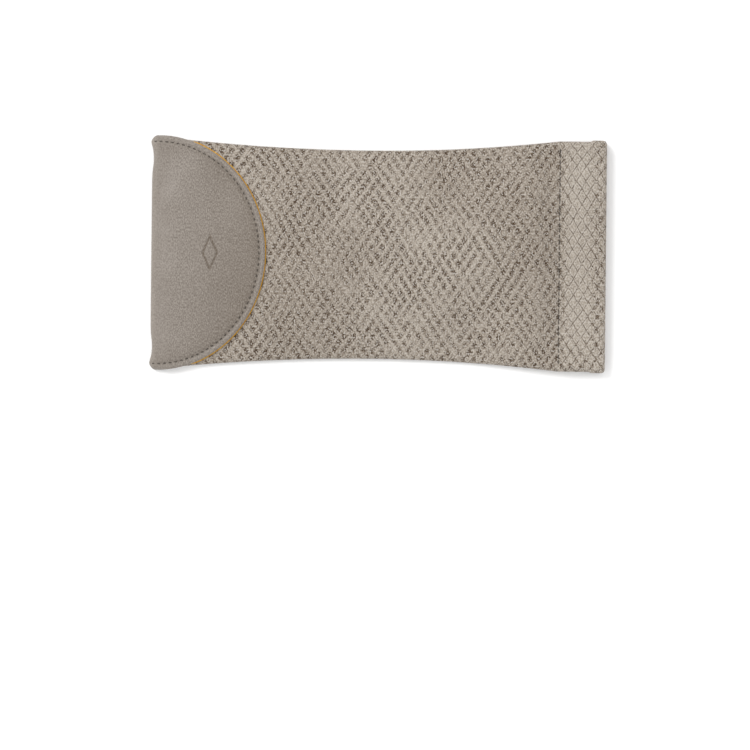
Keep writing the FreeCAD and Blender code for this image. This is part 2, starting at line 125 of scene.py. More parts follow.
# The front wall's crown along the pouch: X, and the share of the whole crown there.
CROWN_PLACES = np.array([FOLD_X, -64.75 * MM, -38.5 * MM, -8.75 * MM,
                         21.0 * MM, 43.75 * MM, 59.5 * MM, 68.1 * MM])
CROWN_SHARES = np.array([0.0, 0.42, 0.84, 0.99, 1.0, 0.83, 0.42, 0.01])
RISE_START = 33.0 * MM                          # where the side seams start to rise to the hem

# The embossed scales: rhombuses, longer across the pouch than along it.
SCALE_LENGTH = 3.72 * MM
SCALE_WIDTH = 5.4 * MM
SCALE_LEAN = 0.30                               # how unevenly the pits between them spread

FRONT_GRID = 0.43 * MM                          # spacing of the leathers' meshes
BACK_GRID = 0.75 * MM

# The cloth simulation of the front leather, run at ten times its size to suit the solver.
SLACK_ROWS, SLACK_COLUMNS = 61, 33
SLACK_LIMIT = 1.3 * MM
CLOTH_SCALE = 10.0
CLOTH_FRAMES = 24
CLOTH_START = 0.25 * MM                         # how uneven the cloth is before it settles
CLOTH_SETTINGS = {
    "quality": 6,
    "mass": 0.4,
    "air_damping": 4.0,
    "tension_stiffness": 25.0,
    "compression_stiffness": 25.0,
    "shear_stiffness": 10.0,
    "bending_stiffness": 6.0,
    "shrink_min": -0.004,                       # it is this much larger than the space it spans
    "use_pressure": True,
    "uniform_pressure_force": 0.4,
}

# ---------------------------------------- the studio's light
SKY_LIGHT = 1.0                                 # from all round, on a level surface
KEY_LIGHT = 0.40                                # from the closed end's far side
FILL_LIGHT = 0.06
LEVEL_LIGHT = SKY_LIGHT + KEY_LIGHT + FILL_LIGHT


# ---------------------------------------- shape functions
def smooth(t):
    t = np.clip(t, 0.0, 1.0)
    return t * t * (3 - 2 * t)


def bell(distance, width):
    return np.exp(-(distance / width) ** 2)


def noise_field(x, y, size, seed):
    """Perlin noise from -1 to 1 over the plane, its features about size across."""
    spread = zip(np.ravel(x) / size, np.ravel(y) / size)
    values = [noise.noise(Vector((a, b, 7.31 * seed))) for a, b in spread]
    return np.array(values).reshape(np.shape(x))


def through(x, places, values):
    """A smooth curve through a few places, level at both ends."""
    slopes = np.zeros(len(places))
    slopes[1:-1] = (values[2:] - values[:-2]) / (places[2:] - places[:-2])
    k = np.clip(np.searchsorted(places, x) - 1, 0, len(places) - 2)
    run = places[k + 1] - places[k]
    t = np.clip((x - places[k]) / run, 0.0, 1.0)
    start = (1 + 2 * t) * (1 - t) ** 2 * values[k] + t * (1 - t) ** 2 * run * slopes[k]
    end = t * t * (3 - 2 * t) * values[k + 1] - t * t * (1 - t) * run * slopes[k + 1]
    return start + end


def half_width(x):
    """Half the pouch's width: two parabolas that meet at the waist, then straight."""
    closed_side = x < WAIST_X
    end = np.where(closed_side, CLOSED_WIDTH, MOUTH_WIDTH)
    reach = np.where(closed_side, WAIST_X - CLOSED_X, STITCH_X - WAIST_X)
    run = np.clip((x - WAIST_X) / reach, -1.0, 1.0)
    return (WAIST_WIDTH + (end - WAIST_WIDTH) * run ** 2) / 2


def seam_rise(x):
    return smooth((x - RISE_START) / (STITCH_X - RISE_START))


def seam_height(x):
    return SEAM_HEIGHT + (SEAM_HEIGHT_HEM - SEAM_HEIGHT) * seam_rise(x)


def hem_share(x):
    """0 on the pouch's body, 1 on the raised hem beyond the stitches."""
    return smooth((x - STITCH_X - 0.2 * MM) / HEM_SLOPE)


def front_edge(x):
    """Height of the front leather's outer face beside its side rolls."""
    body = SEAM_TOP + (FRONT_HEM_PRESSED - SEAM_TOP) * seam_rise(x)
    return body + (FRONT_HEM_HIGH - FRONT_HEM_PRESSED) * hem_share(x)


def crowned_face(x, y):
    """Height of the front leather's outer face as it is cut and sewn, without its side rolls."""
    across = y / half_width(x)
    return front_edge(x) + CROWN * through(x, CROWN_PLACES, CROWN_SHARES) * (1 - across ** 2)


def slack_grid():
    """The places, over the front wall between its seams, fold and hem, where its slack is known."""
    x = np.linspace(FOLD_X, STITCH_X, SLACK_ROWS)[:, None]
    y = np.linspace(-1, 1, SLACK_COLUMNS)[None, :] * (half_width(x) - SIDE_ROLL)
    return np.broadcast_to(x, y.shape), y


def settled_slack():
    """How far the front leather settles off its sewn shape, by cloth simulation.

    The cloth is held by its four edges, cut a little too large and pressed outwards.
    """
    x, y = slack_grid()
    uneven = CLOTH_START * noise_field(x, y, 19 * MM, 2)
    rest = np.stack([x, y, crowned_face(x, y) + uneven], -1)
    index = np.arange(x.size).reshape(x.shape)
    corners = [index[:-1, :-1], index[1:, :-1], index[1:, 1:], index[:-1, 1:]]
    faces = np.stack(corners, -1).reshape(-1, 4).tolist()
    mesh = bpy.data.meshes.new("settling")
    mesh.from_pydata((rest * CLOTH_SCALE).reshape(-1, 3), [], faces)
    cloth = add_object("settling", mesh)
    held = cloth.vertex_groups.new(name="held")
    edge = np.ones(x.shape, bool)
    edge[1:-1, 1:-1] = False
    held.add(index[edge].tolist(), 1.0, "REPLACE")
    modifier = cloth.modifiers.new("settling", "CLOTH")
    for name, value in CLOTH_SETTINGS.items():
        setattr(modifier.settings, name, value)
    modifier.settings.effector_weights.gravity = 0.0
    modifier.settings.vertex_group_mass = held.name
    modifier.point_cache.frame_end = CLOTH_FRAMES
    scene = bpy.context.scene
    for number in range(1, CLOTH_FRAMES + 1):
        scene.frame_set(number)
    settled = cloth.evaluated_get(bpy.context.evaluated_depsgraph_get()).to_mesh()
    heights = np.array([vertex.co.z for vertex in settled.vertices]).reshape(x.shape)
    bpy.data.objects.remove(cloth)
    bpy.data.meshes.remove(mesh)
    scene.frame_set(1)
    return np.clip(heights / CLOTH_SCALE - rest[:, :, 2], -SLACK_LIMIT, SLACK_LIMIT)


def spline_weights(t):
    """How much each of four neighbours counts, t of the way from the second to the third."""
    return ((1 - t) ** 3 / 6, (3 * t ** 3 - 6 * t ** 2 + 4) / 6,
            (-3 * t ** 3 + 3 * t ** 2 + 3 * t + 1) / 6, t ** 3 / 6)


def slack(x, y):
    """The settled slack at any place, smoothly between the places where it is known."""
    rows = np.clip((x - FOLD_X) / (STITCH_X - FOLD_X), 0, 1) * (SLACK_ROWS - 1)
    share = np.clip(y / (half_width(x) - SIDE_ROLL), -1, 1)
    columns = (share + 1) / 2 * (SLACK_COLUMNS - 1)
    first_row, first_column = np.floor(rows).astype(int), np.floor(columns).astype(int)
    total = 0.0
    for i, row_weight in enumerate(spline_weights(rows - first_row)):
        row = np.clip(first_row + i - 1, 0, SLACK_ROWS - 1)
        for j, column_weight in enumerate(spline_weights(columns - first_column)):
            column = np.clip(first_column + j - 1, 0, SLACK_COLUMNS - 1)
            total = total + row_weight * column_weight * SLACK[row, column]
    return total


def front_face(x, y):
    """Height of the front leather's outer face, without its side rolls."""
    ripple = 0.12 * MM * noise_field(x, y, 26 * MM, 1)
    return crowned_face(x, y) + slack(x, y) + ripple * (1 - hem_share(x))


def opening_share(y):
    """How far a point of the front wall turns with the mouth: all at the middle, none at the seams."""
    return np.clip(1 - (y / OPENING_REACH) ** 2, 0.0, 1.0) ** 1.5


def patch_edge_distance(x, y):
    """Distance inwards from the patch's curved edge, negative outside it."""
    along = (x - FOLD_X) / PATCH_REACH
    across = y / PATCH_HALF_WIDTH
    radius = np.maximum(np.hypot(along, across), 1e-6)
    slope = np.hypot(along / PATCH_REACH, across / PATCH_HALF_WIDTH) / radius
    return (1 - radius) / np.maximum(slope, 1e-6)


# ---------------------------------------- mesh helpers
def add_object(name, data):
    """A new object with this data, in the scene."""
    made = bpy.data.objects.new(name, data)
    bpy.context.scene.collection.objects.link(made)
    return made


def link(name, vertices, faces, material, sharp=50):
    mesh = bpy.data.meshes.new(name)
    mesh.from_pydata(vertices, [], faces)
    mesh.validate()
    mesh.update()
    mesh.shade_smooth()
    mesh.set_sharp_from_angle(angle=math.radians(sharp))
    mesh.materials.append(material)
    return add_object(name, mesh)


def store(piece, name, values):
    """Keeps one value or one vector for each vertex, for the material to read."""
    values = np.asarray(values, np.float32)
    kind, field = ("FLOAT", "value") if values.ndim == 1 else ("FLOAT_VECTOR", "vector")
    layer = piece.data.attributes.new(name, kind, "POINT")
    layer.data.foreach_set(field, values.ravel())


def every(count, step):
    """The indices 0, step, 2 * step and so on, and always the last."""
    return np.unique(np.append(np.arange(0, count, step), count - 1))


def grid_normals(points):
    along = np.gradient(points, axis=0)
    across = np.gradient(points, axis=1)
    normals = np.cross(along, across)
    return normals / np.maximum(np.linalg.norm(normals, axis=2, keepdims=True), 1e-12)


def shell(name, outer, inner, material, step=1, sharp=50):
    """A closed sheet between an outer and an inner grid of points; the inner one keeps each step-th."""
    rows, columns = every(outer.shape[0], step), every(outer.shape[1], step)
    inner = inner[np.ix_(rows, columns)]
    top = np.arange(outer.shape[0] * outer.shape[1]).reshape(outer.shape[:2])
    low = top.size + np.arange(inner.shape[0] * inner.shape[1]).reshape(inner.shape[:2])
    upper = np.stack([top[:-1, :-1], top[1:, :-1], top[1:, 1:], top[:-1, 1:]], -1)
    lower = np.stack([low[:-1, :-1], low[:-1, 1:], low[1:, 1:], low[1:, :-1]], -1)
    faces = upper.reshape(-1, 4).tolist() + lower.reshape(-1, 4).tolist()
    for j in range(len(columns) - 1):
        run = np.arange(columns[j], columns[j + 1] + 1)
        faces.append([*top[0, run], low[0, j + 1], low[0, j]])
        faces.append([*top[-1, run[::-1]], low[-1, j], low[-1, j + 1]])
    for i in range(len(rows) - 1):
        run = np.arange(rows[i], rows[i + 1] + 1)
        faces.append([*top[run[::-1], 0], low[i, 0], low[i + 1, 0]])
        faces.append([*top[run, -1], low[i + 1, -1], low[i, -1]])
    vertices = np.concatenate([outer.reshape(-1, 3), inner.reshape(-1, 3)])
    piece = link(name, vertices, faces, material, sharp)
    piece["inner_rows"], piece["inner_columns"] = rows.tolist(), columns.tolist()
    return piece


def on_both_grids(piece, values):
    """The values of a shell's outer grid, and then the same ones again on its inner grid."""
    rows, columns = list(piece["inner_rows"]), list(piece["inner_columns"])
    inner = values[np.ix_(rows, columns)]
    depth = values.shape[2:]
    return np.concatenate([values.reshape(-1, *depth), inner.reshape(-1, *depth)])


def store_grid(piece, name, values):
    store(piece, name, on_both_grids(piece, values))


def follow_mouth(piece, share=None):
    """The piece opens with the mouth: the middle turns with the front wall, the seams stay shut."""
    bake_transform(piece, "back_wall", "front_wall", (0, OPENING_REACH, 0), (0, 0, 0))
    points = np.array([v.co for v in piece.data.vertices])
    weights = opening_share(points[:, 1])
    if share is not None:
        weights = weights * share
    layer = piece.data.attributes["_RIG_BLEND"]
    layer.data.foreach_set("value", weights.astype(np.float32))


# ---------------------------------------- materials
class Shader:
    """A Principled material, with short calls for the nodes that feed it."""

    def __init__(self, name, roughness=0.5, sheen=0.0, coat=0.0, metallic=0.0, specular=0.5):
        self.material = bpy.data.materials.new(name)
        self.material.use_nodes = True
        self.tree = self.material.node_tree
        self.surface = self.tree.nodes["Principled BSDF"]
        self.surface.inputs["Roughness"].default_value = roughness
        self.surface.inputs["Sheen Weight"].default_value = sheen
        self.surface.inputs["Coat Weight"].default_value = coat
        self.surface.inputs["Metallic"].default_value = metallic
        self.surface.inputs["Specular IOR Level"].default_value = specular

    def node(self, kind, inputs=None, **settings):
        made = self.tree.nodes.new(kind)
        for setting, value in settings.items():
            setattr(made, setting, value)
        for key, value in (inputs or {}).items():
            self.feed(made.inputs[key], value)
        return made

    def feed(self, socket, value):
        if isinstance(value, bpy.types.NodeSocket):
            self.tree.links.new(value, socket)
        else:
            socket.default_value = value

    def math(self, operation, *values):
        made = self.node("ShaderNodeMath", dict(enumerate(values)), operation=operation)
        return made.outputs[0]

    def times(self, first, second):
        return self.math("MULTIPLY", first, second)

    def plus(self, first, second):
        return self.math("ADD", first, second)

    def ramp(self, value, low, high, start=0.0, end=1.0):
        """Maps value from low..high to start..end, smoothly and without going past either."""
        made = self.node("ShaderNodeMapRange", {0: value, 1: low, 2: high, 3: start, 4: end},
                         interpolation_type="SMOOTHSTEP")
        return made.outputs[0]

    def attribute(self, name):
        return self.node("ShaderNodeAttribute", attribute_name=name).outputs["Vector"]

    def parts(self, vector):
        return self.node("ShaderNodeSeparateXYZ", {0: vector}).outputs

    def stretch(self, vector, scale):
        made = self.node("ShaderNodeVectorMath", {0: vector, 1: scale}, operation="MULTIPLY")
        return made.outputs[0]

    def noise(self, vector, size, detail=3.0, roughness=0.55):
        made = self.node("ShaderNodeTexNoise", {"Vector": vector, "Scale": 1 / size,
                                                "Detail": detail, "Roughness": roughness})
        return made.outputs["Fac"]

    def cells(self, vector, size):
        made = self.node("ShaderNodeTexVoronoi", {"Vector": vector, "Scale": 1 / size})
        return made.outputs["Distance"]

    def mix(self, share, first, second):
        inputs = {0: share, 6: first, 7: second}
        return self.node("ShaderNodeMix", inputs, data_type="RGBA").outputs[2]

    def bump(self, height, distance, strength):
        made = self.node("ShaderNodeBump", {"Height": height, "Distance": distance,
                                            "Strength": strength})
        return made.outputs["Normal"]

    def finish(self, colour, roughness=None, normal=None):
        self.feed(self.surface.inputs["Base Color"], colour)
        if roughness is not None:
            self.feed(self.surface.inputs["Roughness"], roughness)
        if normal is not None:
            self.feed(self.surface.inputs["Normal"], normal)
        return self.material


def seen(red, green, blue):
    """A colour as it looks on a level surface in the studio's light, 0 to 255 on a screen."""
    shares = [value / 255 for value in (red, green, blue)]
    linear = [s / 12.92 if s <= 0.04045 else ((s + 0.055) / 1.055) ** 2.4 for s in shares]
    return (*(value / LEVEL_LIGHT for value in linear), 1.0)


def smooth_leather():
    """Fine grained artificial leather, painted paler and greyer on the patch than on the back: painted
    light, not a different leather.
    """
    s = Shader("SmoothLeather", sheen=0.06, coat=0.03, specular=0.30)
    flat = s.attribute("flat")
    light, wear_and_highlight, grained = s.parts(s.attribute("tone"))
    pebbles = s.cells(flat, 0.75 * MM)
    streaks = s.noise(s.stretch(flat, (1.0, 0.55, 1.0)), 0.42 * MM, 2.0, 0.55)
    clouds = s.noise(flat, 14 * MM, 2.0)
    speckle = s.noise(flat, 1.3 * MM, 3.0, 0.65)
    # light: from the back's own colour to the patch's paler colour, which is painted light
    colour = s.mix(light, seen(119, 106, 92), seen(158, 149, 140))
    colour = s.mix(s.ramp(clouds, 0.35, 0.65, 0.0, 0.10), colour, seen(106, 94, 81))
    colour = s.mix(s.ramp(speckle, 0.42, 0.60, 0.06, 0.0), colour, seen(92, 80, 69))
    dark = s.times(s.ramp(streaks, 0.34, 0.54, 0.52, 0.0), grained)
    colour = s.mix(dark, colour, seen(92, 81, 69))
    pale = s.times(s.ramp(streaks, 0.50, 0.66, 0.0, 0.30), grained)
    colour = s.mix(pale, colour, seen(192, 184, 174))
    colour = s.mix(s.ramp(pebbles, 0.45, 0.75, 0.0, 0.16), colour, seen(86, 74, 63))
    # paler on the folds and cut edges: wear, and a painted highlight where they catch the light
    colour = s.mix(wear_and_highlight, colour, seen(176, 167, 156))
    rough = s.ramp(streaks, 0.3, 0.7, 0.44, 0.60)
    height = s.plus(s.times(pebbles, -0.5), streaks)
    return s.finish(colour, rough, s.bump(height, 0.10 * MM, 0.8))


def scale_leather():
    """Artificial leather embossed with small scales; the pits between them crumble into specks."""
    s = Shader("ScaleLeather", sheen=0.04, coat=0.03, specular=0.24)
    p, q, hem = s.parts(s.attribute("lattice"))
    pits, slant, shade = s.parts(s.attribute("marks"))
    flat = s.attribute("flat")
    fray = s.math("SUBTRACT", s.noise(flat, 0.8 * MM, 4.0, 0.65), 0.5)
    grain = s.noise(s.stretch(flat, (1.0, -0.8, 1.0)), 0.60 * MM, 2.0, 0.5)
    crumbs = s.noise(flat, 0.50 * MM, 2.0, 0.6)
    blotch = s.noise(flat, 2.6 * MM, 3.0, 0.6)

    # distances from the two families of lines that bound the scales
    sides, leans = [], []
    for value, lean in ((p, SCALE_LEAN), (q, -SCALE_LEAN)):
        near = s.math("SUBTRACT", s.math("FRACT", s.plus(value, 0.5)), 0.5)
        sides.append(s.math("ABSOLUTE", near))
        leans.append(s.plus(s.times(slant, lean), 1.0))
    line = s.plus(s.math("MINIMUM", *sides), s.times(fray, 0.09))
    groove = s.times(s.ramp(line, 0.005, 0.095, 1.0, 0.0), s.ramp(blotch, 0.34, 0.56, 0.35, 1.0))
    # pale lines just inside each scale's edges: painted highlights
    painted_rim_highlight = s.ramp(s.math("ABSOLUTE", s.math("SUBTRACT", line, 0.14)), 0.0, 0.07, 1.0, 0.0)
    reach = s.math("MAXIMUM", *(s.times(*pair) for pair in zip(sides, leans)))
    reach = s.plus(reach, s.times(fray, 0.32))
    strays = s.times(groove, 0.45)
    near_pit = s.math("MAXIMUM", s.ramp(reach, 0.15, 0.55, 1.0, 0.0), strays)
    near_pit = s.times(near_pit, pits)

    # pearly scales with a fine grain, their tone partly painted light and their edges lit by painted
    # highlights
    base = s.mix(shade, seen(170, 159, 146), seen(193, 183, 170))
    base = s.mix(s.ramp(blotch, 0.36, 0.64, 0.0, 0.30), base, seen(150, 139, 127))
    dark_grain = s.times(s.ramp(grain, 0.37, 0.53, 1.0, 0.0), s.ramp(hem, 0.0, 1.0, 0.30, 0.38))
    base = s.mix(dark_grain, base, seen(112, 98, 82))
    base = s.mix(s.times(groove, s.ramp(hem, 0.0, 1.0, 0.26, 0.82)), base, seen(98, 84, 68))
    base = s.mix(s.times(painted_rim_highlight, s.ramp(hem, 0.0, 1.0, 0.16, 0.55)), base, seen(210, 202, 192))

    # brown pits: dark specks, dense in the middle and scattered around it, and pale flecks
    base = s.mix(s.times(near_pit, 0.60), base, seen(122, 100, 74))
    specks = s.plus(crumbs, s.times(near_pit, 0.20))
    specks = s.ramp(specks, 0.62, 0.71, 0.0, 1.0)
    colour = s.mix(s.times(specks, 0.90), base, seen(64, 41, 18))
    flecks = s.times(s.ramp(grain, 0.51, 0.61, 0.0, 0.90), s.plus(s.times(near_pit, 0.60), 0.40))
    colour = s.mix(flecks, colour, seen(222, 215, 205))
    rough = s.plus(s.ramp(grain, 0.3, 0.7, 0.42, 0.58), s.times(specks, 0.2))
    depth = s.plus(s.times(groove, s.ramp(hem, 0.0, 1.0, 0.3, 0.8)), specks)
    height = s.math("SUBTRACT", s.times(grain, 0.6), depth)
    return s.finish(colour, rough, s.bump(height, 0.16 * MM, 0.9))


def flannel():
    """Brushed yellow flannel: short fibres over a faint weave."""
    s = Shader("Flannel", roughness=0.92, sheen=0.45, specular=0.2)
    flat = s.attribute("flat")
    fibres = s.noise(s.stretch(flat, (1.0, 0.35, 1.0)), 0.35 * MM, 5.0, 0.7)
    tufts = s.noise(flat, 1.6 * MM, 3.0, 0.6)
    colour = s.mix(s.ramp(fibres, 0.35, 0.68), seen(196, 128, 22), seen(244, 196, 66))
    colour = s.mix(s.ramp(tufts, 0.35, 0.65, 0.0, 0.35), colour, seen(214, 150, 30))
    height = s.plus(fibres, s.times(tufts, 0.8))
    return s.finish(colour, None, s.bump(height, 0.18 * MM, 0.8))


def thread():
    """Dark bonded thread with the twist of its plies."""
    s = Shader("Thread", roughness=0.62, sheen=0.2, specular=0.35)
    flat = s.attribute("flat")
    along, around, _ = s.parts(flat)
    twist = s.math("SINE", s.plus(s.times(along, 2 * math.pi / (0.9 * MM)),
                                  s.times(around, 2 * math.pi * 2)))
    fuzz = s.noise(flat, 0.2 * MM, 3.0, 0.6)
    share = s.plus(s.ramp(twist, -1.0, 1.0, 0.0, 0.6), s.times(fuzz, 0.3))
    colour = s.mix(share, seen(58, 50, 42), seen(98, 87, 75))
    return s.finish(colour, None, s.bump(twist, 0.05 * MM, 0.8))


def spring_steel():
    """Blued flat spring steel, ground lengthwise."""
    s = Shader("SpringSteel", roughness=0.3, metallic=1.0)
    place = s.node("ShaderNodeTexCoord").outputs["Object"]
    grinding = s.noise(s.stretch(place, (1.0, 0.02, 1.0)), 0.15 * MM, 4.0, 0.6)
    stain = s.noise(place, 6 * MM, 3.0)
    colour = s.mix(s.ramp(grinding, 0.35, 0.65), seen(150, 152, 158), seen(196, 198, 202))
    colour = s.mix(s.ramp(stain, 0.45, 0.7, 0.0, 0.35), colour, seen(120, 126, 140))
    rough = s.ramp(grinding, 0.3, 0.7, 0.24, 0.42)
    return s.finish(colour, rough, s.bump(grinding, 0.01 * MM, 0.5))


def tip_plastic():
    """Matt black moulded plastic with a spark-eroded grain."""
    s = Shader("TipPlastic", roughness=0.55)
    place = s.node("ShaderNodeTexCoord").outputs["Object"]
    grain = s.noise(place, 0.25 * MM, 4.0, 0.6)
    colour = s.mix(s.ramp(grain, 0.35, 0.65), seen(24, 24, 25), seen(44, 44, 46))
    return s.finish(colour, s.ramp(grain, 0.3, 0.7, 0.48, 0.66), s.bump(grain, 0.04 * MM, 0.6))


def floor_paint():
    s = Shader("FloorPaint", roughness=0.9, specular=0.1)
    place = s.node("ShaderNodeTexCoord").outputs["Object"]
    tooth = s.noise(place, 60 * MM, 2.0)
    return s.finish(s.mix(tooth, (0.93, 0.93, 0.93, 1.0), (0.95, 0.95, 0.95, 1.0)))


SMOOTH = smooth_leather()
SCALES = scale_leather()
YELLOW = flannel()
THREADS = thread()
STEEL = spring_steel()
PLASTIC = tip_plastic()


# ---------------------------------------- the front leather
def section_columns(spacing):
    """Where a wall's columns lie: a share of the flat stretch, and an angle round the side roll."""
    flat = np.linspace(-1, 1, 2 * round((MOUTH_WIDTH / 2 - SIDE_ROLL) / spacing) + 1)
    angles = ROLL_END * np.arange(1, ROLL_STEPS + 1) / ROLL_STEPS
    share = np.concatenate([-np.ones(ROLL_STEPS), flat, np.ones(ROLL_STEPS)])
    angle = np.concatenate([angles[::-1], np.zeros(len(flat)), angles])
    return share, angle


def roll_drop(angle):
    """Share of the way down to the seam, 0 at the top of the side roll, 1 at its end."""
    return (1 - np.cos(angle)) / (1 - math.cos(ROLL_END))


def scale_lattice(along, across):
    """Lattice coordinates of the embossing: scales meet where both are whole numbers."""
    drift = 1.1 * MM * noise_field(along, across, 21 * MM, 11)
    sway = 1.2 * MM * noise_field(along, across, 24 * MM, 12)
    wobble = 0.28 * MM * noise_field(along, across, 3.1 * MM, 13)
    swell = 5.2 * MM * np.tanh(across / (17 * MM))
    x = (along + drift + wobble) / SCALE_LENGTH
    y = (across - 0.35 * swell + sway + wobble) / SCALE_WIDTH
    return x + y, x - y


def scale_relief(p, q, pits, slant, hem):
    """Height of the scales: low pillows, thin grooves between them, and pits where they meet."""
    near_p = np.abs(np.mod(p + 0.5, 1.0) - 0.5)
    near_q = np.abs(np.mod(q + 0.5, 1.0) - 0.5)
    pillow = np.cos(np.pi * near_p) ** 2 + np.cos(np.pi * near_q) ** 2
    groove = 1 - smooth(np.minimum(near_p, near_q) / 0.13)
    lean = SCALE_LEAN * slant
    reach = np.maximum(near_p * (1 + lean), near_q * (1 - lean))
    pit = (1 - smooth((reach - 0.12) / 0.26)) * pits
    body = -0.05 * pillow - 0.03 * groove - 0.17 * pit
    flat = -0.03 * pillow - 0.09 * groove - 0.10 * pit
    return MM * (body + (flat - body) * hem)


def corner_flare(x):
    """The seam ends at the mouth stand a little proud of the sides."""
    return 0.45 * MM * smooth((x - MOUTH_X + 6.5 * MM) / (1.5 * MM))


def stitch_valley(away, along):
    """The leather's dip along a row of stitches, a little deeper at each needle hole."""
    puckers = 0.5 + 0.5 * np.cos(2 * np.pi * along / STITCH_PITCH)
    return MM * (0.28 * bell(away, 1.1 * MM) + 0.12 * puckers * bell(away, 0.5 * MM))


def wall_across(x, bend, share, angle, roll):
    """A wall's Y: its flat stretch, then round the side rolls, which the turned-in hem tucks under."""
    side = np.sign(share)
    flat = side * np.abs(share) * (half_width(x) + corner_flare(x) - roll)
    return flat + side * roll * np.sin(angle) * (1 - HEM_TUCK * smooth(bend / math.pi))


def wall_along(x, bend, angle):
    """A wall's X, which goes out round the hem's fold at the mouth, and less so at the seams."""
    return x + HEM_RADIUS * np.sin(bend) * (1 - HEM_CORNER * roll_drop(angle))


def unrolled(points, start, share, angle, roll):
    """Distances along and across a wall's leather, laid flat."""
    middle = points[:, points.shape[1] // 2]
    steps = np.diff(middle, axis=0, prepend=middle[:1])
    length = start + np.cumsum(np.hypot(steps[:, 0], steps[:, 2]))
    across = points[:, :, 1] + np.sign(share) * roll * (angle - np.sin(angle))
    return np.broadcast_to(length[:, None], across.shape), across


def flat_places(along, across, layer=0.0):
    return np.stack([along, across, np.full_like(across, layer)], -1)


def pit_shares(x, y, along, across, hem):
    """How strongly each pit shows: in clusters on the body, and near the edges on the hem."""
    clusters = 0.82 + 0.42 * noise_field(along, across, 9 * MM, 21)
    clusters = clusters + 0.45 * noise_field(along, across, 3.2 * MM, 22)
    near_edges = np.maximum(bell(x - MOUTH_X + 3 * MM, 2.5 * MM), bell(x - STITCH_X, 3 * MM))
    near_edges = np.maximum(near_edges, 1.1 * bell(y + MOUTH_WIDTH / 2, 11 * MM))
    return np.clip(clusters, 0.10, 1.0) * (1 - (0.90 - 0.75 * near_edges) * hem)


def scale_tone(x, along, across, share, angle, hem):
    """How pale the scales are: a random tone, with painted light palest past the middle and on the hem, and
    painted shade at the sides, before the hem and round the side rolls.
    """
    tone = 0.5 + 0.9 * noise_field(along, across, 30 * MM, 24)
    # painted light on the crown's top and on the hem
    tone = tone + 0.35 * bell(x - 6 * MM, 12 * MM) + 0.15 * hem
    # painted shade where the crown slopes away to the sides and down before the hem
    darker = share ** 2 + bell(x - STITCH_X + 8 * MM, 12 * MM)
    tone = tone - 0.35 * darker * (1 - hem)
    # painted shade round the side rolls
    return np.clip(tone - 0.5 * angle / ROLL_END, 0.0, 1.0)


def make_front_leather():
    share, angle = section_columns(FRONT_GRID)
    start = FOLD_X + 0.9 * MM
    fold_x = MOUTH_X - HEM_RADIUS
    body_rows = np.linspace(start, fold_x, round((fold_x - start) / FRONT_GRID) + 1)
    turn = np.linspace(0, math.pi, 12)[1:]
    turned_rows = np.linspace(fold_x, STITCH_X - HEM_LAP, 22)[1:]
    x = np.concatenate([body_rows, np.full(len(turn), fold_x), turned_rows])[:, None]
    bend = np.concatenate([np.zeros(len(body_rows)), turn, np.full(len(turned_rows), math.pi)])
    bend = bend[:, None]

    roll = SIDE_ROLL + 0.4 * MM * hem_share(x)
    y = wall_across(x, bend, share, angle, roll)
    x = np.broadcast_to(x, y.shape)
    top = np.where(bend > 0, FRONT_HEM_HIGH, front_face(x, y))
    level = top - HEM_RADIUS * (1 - np.cos(bend))
    drop = (np.where(bend > 0, level, front_edge(x)) - seam_height(x)) * roll_drop(angle)
    z = level - np.maximum(drop, 0.0)
    x_out = wall_along(x, bend, angle)
    along, across = unrolled(np.stack([x_out, y, z], -1), start, share, angle, roll)

    # embossing, which ends under the patch
    p, q = scale_lattice(along, across)
    hem = smooth((along - STITCH_X) / (1.0 * MM))
    pits = pit_shares(x, y, along, across, hem)
    slant = np.clip(noise_field(along, across, 8 * MM, 23) * 2.0, -1.0, 1.0)
    under_patch = smooth(patch_edge_distance(x, y) / (0.5 * MM))
    relief = scale_relief(p, q, pits, slant, hem) * (1 - under_patch)
    z = z + np.where(bend == 0, relief - stitch_valley(x - STITCH_X, y), 0.0)
    outer = np.stack([x_out, y, z], -1)
    inner = outer - LEATHER * grid_normals(outer)

    piece = shell("front_leather", outer, inner, SCALES, step=6, sharp=60)
    tone = scale_tone(x, along, across, share, angle, hem)
    store_grid(piece, "flat", flat_places(along, across))
    store_grid(piece, "lattice", np.stack([p, q, hem], -1))
    store_grid(piece, "marks", np.stack([pits, slant, tone], -1))
    follow_mouth(piece)
    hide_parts("front_panel")


